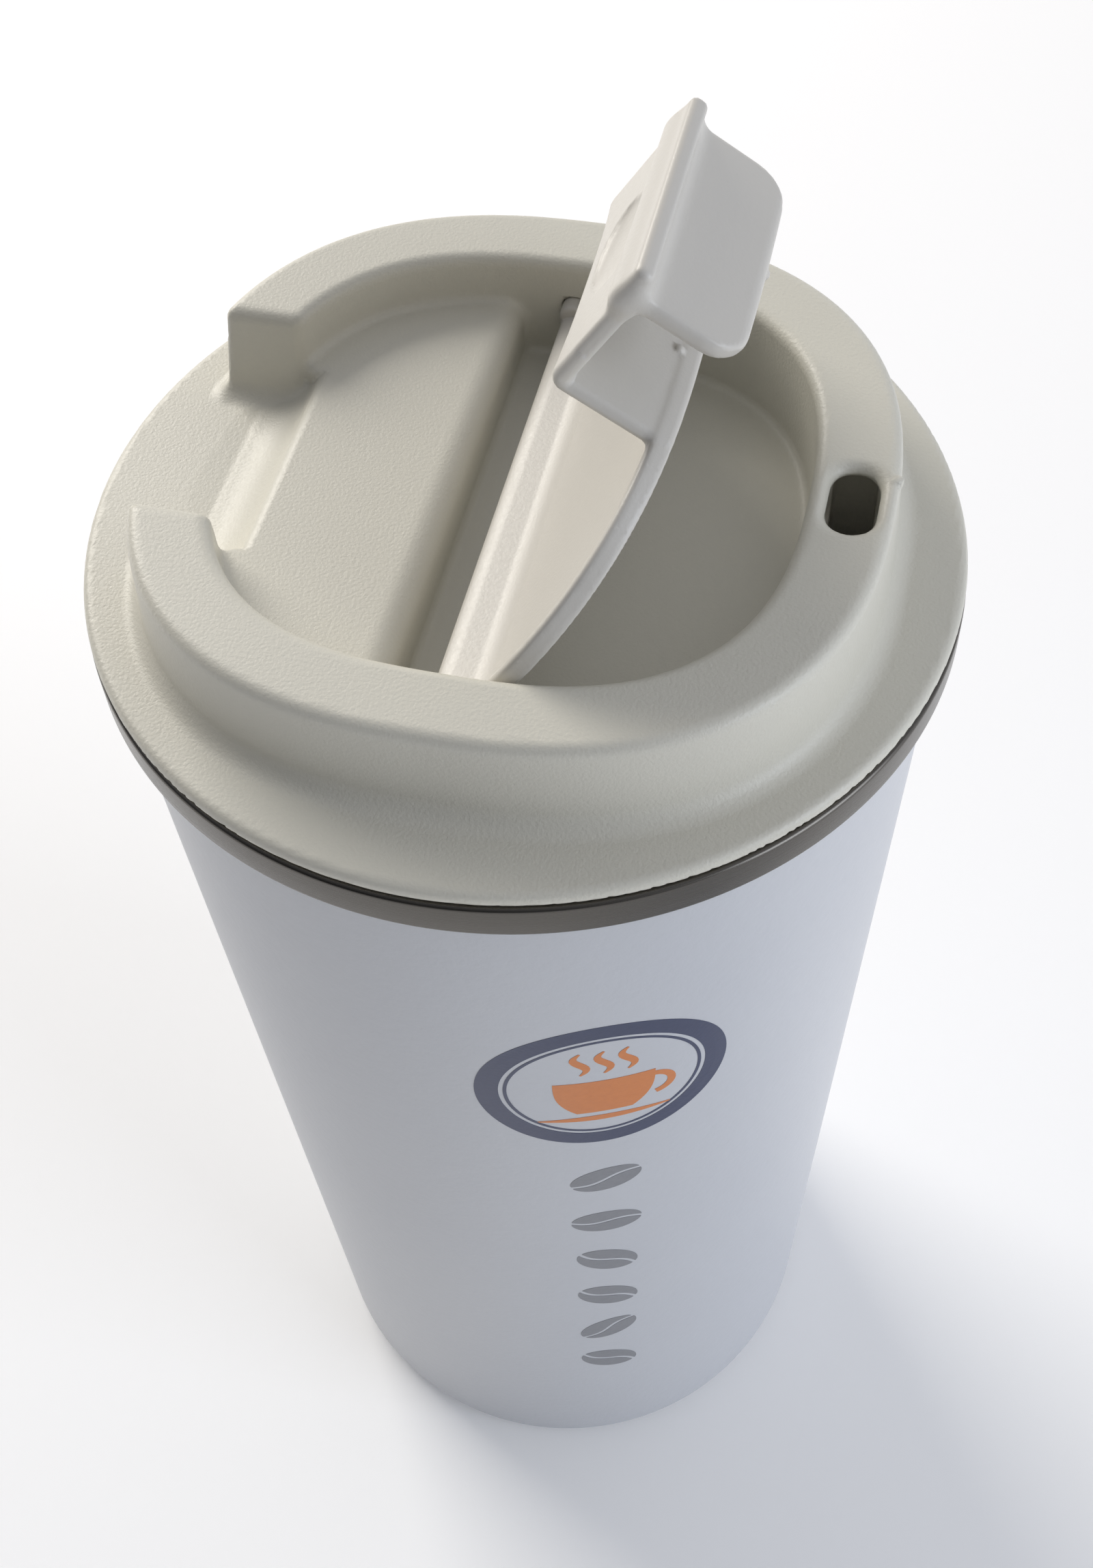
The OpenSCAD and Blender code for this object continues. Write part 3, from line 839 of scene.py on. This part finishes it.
# ---------------------------------------------------------------------------------------------
# Gasket: a ring of white silicone stretched into the plug's groove, with a lip that seals on
# the neck; and the small silicone ring between the two mouldings of the lid.
# ---------------------------------------------------------------------------------------------
gasket_low, gasket_high = (corner.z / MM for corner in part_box("lid_gasket"))
gasket_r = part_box("lid_gasket")[1].x / MM
gasket_middle = (gasket_low + gasket_high) / 2
gasket_in_r = groove_r + 0.05
white_silicone, shader, place = start_finish("white_silicone", 0.5, Subsurface_Weight=0.25,
                                             Subsurface_Scale=0.002)
milk = noise(place, 0.004, 3.0)
mixed(milk, (0.72, 0.72, 0.70, 1), (0.80, 0.80, 0.78, 1)).feed(shader, "Base Color")
relief(milk, 0.00005, shader)
gasket = turned("silicone_gasket", outline([
    (gasket_in_r, gasket_low, 0.2),
    (gasket_r - 0.8, gasket_low, 0.3),
    (gasket_r - 0.5, gasket_middle - 0.9, 0.2),
    (gasket_r, gasket_middle - 0.5, 0.35),
    (gasket_r, gasket_middle + 0.5, 0.35),
    (gasket_r - 0.5, gasket_middle + 0.9, 0.2),
    (gasket_r - 0.8, gasket_high, 0.3),
    (gasket_in_r, gasket_high, 0.2),
], steps=5), white_silicone)
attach(gasket, "gasket")
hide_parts("lid_gasket")
for place_in_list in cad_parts["sip_seal"].material_slots:
    place_in_list.material = white_silicone

# ---------------------------------------------------------------------------------------------
# Lid top: one moulding in grey plastic. A round flange, a raised ring of rounded-square plan
# that is open at the back, a well in front of the hinge and a raised rest behind it.
# ---------------------------------------------------------------------------------------------
flange_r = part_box("lid_top")[1].x / MM
flange_low = 0.3
flange_edge = 2.0
flange_rise, flange_rise_w = 0.3, 9.0
flange_inset = 4.0
ring_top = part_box("lid_top")[1].z / MM - band_high
ring_a, ring_b, ring_n = 37.1, 36.2, 2.45
ring_draft = 0.05
well_a, well_b, well_n = 28.7, 28.2, 2.7
well_floor = 0.2
lid_t = 2.0
lid_low = well_floor - lid_t
spigot_r = skirt_r - skirt_t - 0.1
rest_top = 7.0
rest_x = -6.6
rest_back = -25.0
rest_half = 12.8
ramp_foot = -32.5
ramp_low = flange_edge + flange_rise
ramp_r = ((rest_back - ramp_foot) ** 2 + (rest_top - ramp_low) ** 2) / (2 * (rest_top - ramp_low))
ear_back = -27.1
gap_half = 14.0
gap_start = -15.0
gap_draft = 0.15
rib_y, rib_half, rib_x = 8.0, 1.0, 25.0
lid_sip_w, lid_sip_l, lid_sip_low = sip_w - 0.4, sip_l - 0.2, 8.0
snap_at = (36.9, 3.5, 12.3)
snap_r = 0.6
pin_x, pin_z = -0.85, 6.65
pin_r, pin_play = 1.5, 0.02
pin_reach, pin_end_play = 29.9, 0.6
lid_cell = 0.6


def oval(x, y, half_x, half_y, squareness):
    """Distance to an upright wall of rounded-square plan."""
    u = np.abs(x) / half_x + 1e-9
    v = np.abs(y) / half_y + 1e-9
    level = (u ** squareness + v ** squareness) ** (1 / squareness)
    lean_x = (u / level) ** (squareness - 1) / half_x
    lean_y = (v / level) ** (squareness - 1) / half_y
    return (level - 1) / np.hypot(lean_x, lean_y)


def lid_shape(x, y, z):
    """The moulding drawn over the rim: solid ring, rest, floor and flange first, then the
    hollows under them, the drinking hole and the holes of the hinge pins."""
    r = np.hypot(x, y)
    ring = oval(x, y, ring_a, ring_b, ring_n)
    well = oval(x, y, well_a, well_b, well_n)
    flange_z = flange_edge + flange_rise * np.clip((flange_r - 1 - r) / flange_rise_w, 0, 1)
    flange = meet(r - flange_r, z - flange_z, 0.9)
    flange = meet(flange, -meet(well - flange_inset, rest_x - 1.5 - x))
    gap = meet(np.abs(y) - gap_half + gap_draft * (ring_top - z), x - gap_start)
    wall = meet(meet(ring - ring_draft * (ring_top - z), -well), -gap, 1.0)
    wall = meet(wall, z - ring_top, 1.2)
    ramp = ramp_r - np.hypot(np.maximum(x - ramp_foot, 0), z - ramp_low - ramp_r)
    ear = meet(rest_half - np.abs(y), ear_back - x, 1.5)
    behind = meet(np.abs(y) - gap_half - 0.5, between(x, ramp_foot, gap_start))
    footprint = join(well - 1, behind)
    rest = meet(footprint, meet(z - rest_top, x - rest_x, 2.6))
    rest = meet(rest, join(ramp, ear), 0.8)
    floor = meet(meet(well - 1, z - well_floor), rest_x - 1 - x)
    inside = join(join(wall, rest, 1.0), floor, 0.9)
    shape = join(inside, join(wall, flange, 2.0))
    snap = np.sqrt(sum((a - b) ** 2 for a, b in zip((x, y, z), snap_at))) - snap_r
    shape = join(shape, snap, 0.3)
    spigot = meet(meet(ring - 0.2, r - spigot_r), lid_low - z)
    shape = meet(shape, join(flange_low - z, spigot), 0.75)
    hollow = meet(meet(ring + lid_t, lid_t - well), z - (ring_top - lid_t), 0.8)
    hollow = meet(hollow, join(flange_low - z, r - spigot_r + lid_t))
    hollow = meet(hollow, -meet(np.abs(y) - gap_half - lid_t, x - gap_start - lid_t))
    rib = np.abs(np.abs(y) - rib_y) - rib_half
    hollow = meet(hollow, -meet(rib, rib_x - x))
    under_rest = meet(meet(well + lid_t, z - (rest_top - lid_t)),
                      between(x, rest_back + lid_t, rest_x - lid_t))
    shape = meet(shape, -hollow, 0.4)
    shape = meet(shape, -under_rest, 0.4)
    sip = meet(stadium(x, y, lid_sip_w, lid_sip_l), lid_sip_low - z)
    shape = meet(shape, -sip, 1.3)
    pin = meet(np.hypot(x - pin_x, z - pin_z) - pin_r - pin_play,
               np.abs(y) - pin_reach - pin_end_play)
    return meet(shape, -pin)


lid_top = sculpted("lid_top_moulding", lid_shape, (-flange_r, -flange_r, lid_low),
                   (flange_r, flange_r, ring_top), lid_cell, lid_plastic, over_rim)
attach(lid_top, "lid")
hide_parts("lid_top")

# ---------------------------------------------------------------------------------------------
# Flap: cream-grey plastic, moulded in one with its hinge bar and pins. A D-shaped leaf with a
# raised rim, an arm that bends over the ring, a finger dimple and a thumb lip.
# ---------------------------------------------------------------------------------------------
open_angle = math.radians(57)
leaf_gap = 0.45
leaf_n = 2.8
leaf_low = 2.7
leaf_top = 3.9
rim_w = 1.3
rim_rise = 0.9
bar_left, bar_top, bar_half = -4.0, 7.6, 27.6
bar_ridge, bar_foot = -1.4, 2.2
back_low, back_run, back_rise = 4.5, 1.4, 3.1
arm_start = 12.0
arm_half = 12.2
arm_top = 15.3
arm_t = 1.8
wall_t = 1.45
end_in = 37.6
end_t = 1.8
end_low = 3.3
end_bow = 0.045 / 16
end_round, end_round_x = 4.2, 31.0
lip_out = 2.2
lip_t = 1.8
lip_up = 0.5
dimple = np.array((3.6, 5.4, 0.7))
wall_nub = (28.2, -2.0, 5.2)
end_nub = (38.3, 0.5, 3.6)
nub_r = 0.55
boss_r, boss_clear = 1.2, 1.2
flap_cell = 0.42


def swung_open(points, only_turned):
    """Turns a shape drawn for the closed flap about the hinge pin to where it stands open."""
    c, s = math.cos(open_angle), math.sin(open_angle)
    turn = np.array(((c, 0, -s), (0, 1, 0), (s, 0, c)))
    if only_turned:
        return points @ turn.T
    hinge = np.array((pin_x, 0, pin_z))
    return (points - hinge) @ turn.T + hinge + np.array((0, 0, band_high))


def flap_shape(x, y, z):
    """The flap drawn shut, over the rim: leaf and hinge bar, then the arm with its lip and
    dimple, then the pins and the boss of the stopper."""
    edge = oval(x, y, well_a, well_b, leaf_n) + leaf_gap
    half_y = np.abs(y)
    leaf = meet(meet(edge, -x), between(z, leaf_low, leaf_top + rim_rise), 0.5)
    tray = meet(edge + rim_w, leaf_top - z, 0.5)
    leaf = meet(leaf, -tray, 0.45)
    fall = bar_top - leaf_top
    flank = ((x - bar_ridge) * fall + (z - bar_top) * (bar_foot - bar_ridge)) / math.hypot(
        fall, bar_foot - bar_ridge)
    back = ((bar_left - x) * back_rise + (z - back_low) * back_run) / math.hypot(
        back_rise, back_run)
    bar = meet(between(x, bar_left, bar_foot + 2), between(z, leaf_low, bar_top, 1.2), 0.8)
    bar = meet(meet(bar, flank, 1.2), back, 1.2)
    bar = meet(bar, half_y - bar_half, 0.5)
    shape = join(leaf, bar, 1.2)
    outer = meet(-(edge + wall_t), between(z, leaf_low + 0.5, arm_top), 1.5)
    outer = meet(outer, x - (end_in + end_t), 1.5)
    cavity = meet(meet(-edge, x - end_in), z - (arm_top - arm_t), 0.3)
    arm = meet(outer, -cavity, 0.3)
    arm = meet(arm, half_y - arm_half, 0.8)
    arm = meet(arm, arm_start - x)
    corner = meet(half_y - arm_half, end_low + end_bow * y ** 2 - z, end_round)
    arm = meet(arm, join(corner, x - end_round_x), 0.5)
    lip = meet(between(x, end_in - 0.5, end_in + end_t + lip_out, 0.7),
               between(z, arm_top + lip_up - lip_t, arm_top + lip_up, 0.7), 0.7)
    lip = meet(lip, half_y - arm_half + 0.1, 0.8)
    arm = join(arm, lip, 1.8)
    along = np.stack([x - sip_x, y, z - arm_top])
    reach = [np.sqrt(((along.T / dimple ** power) ** 2).sum(-1)).T + 1e-9 for power in (1, 2)]
    arm = meet(arm, -reach[0] * (reach[0] - 1) / reach[1], 0.15)
    for nub in (wall_nub, end_nub):
        far = np.sqrt(sum((a - b) ** 2 for a, b in zip((x, y, z), nub)))
        arm = join(arm, far - nub_r, 0.2)
    shape = join(shape, arm, 0.6)
    pin = meet(np.hypot(x - pin_x, z - pin_z) - pin_r,
               between(half_y, bar_half - 1, pin_reach), 0.4)
    boss = meet(np.hypot(x - sip_x, y) - boss_r,
                between(z, arm_top - arm_t - 1, arm_top - boss_clear))
    return join(join(shape, pin), boss, 0.3)


flap_plastic = moulded("flap_plastic", (0.62, 0.595, 0.545), (0.595, 0.572, 0.525), 0.36, 0.00002)
flap = sculpted("flip_flap", flap_shape, (bar_left, -pin_reach, leaf_low),
                (end_in + end_t + lip_out, pin_reach, arm_top + lip_up), flap_cell,
                flap_plastic, swung_open)
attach(flap, "flap")
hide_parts("flap")

# ---------------------------------------------------------------------------------------------
# Stopper: a small pad of white silicone pushed over the boss under the arm. It closes the
# drinking hole when the flap is shut.
# ---------------------------------------------------------------------------------------------
stopper_top = arm_top - arm_t
shoulder_ease, shoulder_h = 1.4, 2.0
tip_ease, tip_h = 2.0, 2.9
stopper_cell = 0.2


def stopper_shape(x, y, z):
    """A shoulder under the arm and a narrower tip that enters the drinking hole."""
    shoulder = meet(stadium(x, y, sip_w - shoulder_ease, sip_l - shoulder_ease),
                    between(z, stopper_top - shoulder_h, stopper_top), 0.3)
    tip = meet(stadium(x, y, sip_w - tip_ease, sip_l - tip_ease),
               between(z, stopper_top - tip_h, stopper_top - 1), 0.5)
    return join(shoulder, tip, 0.3)


stopper = sculpted("silicone_stopper", stopper_shape, (sip_x - 3, -5, arm_top - 5),
                   (sip_x + 3, 5, arm_top - 2), stopper_cell, white_silicone, swung_open)
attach(stopper, "flap")
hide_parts("flap_stopper")
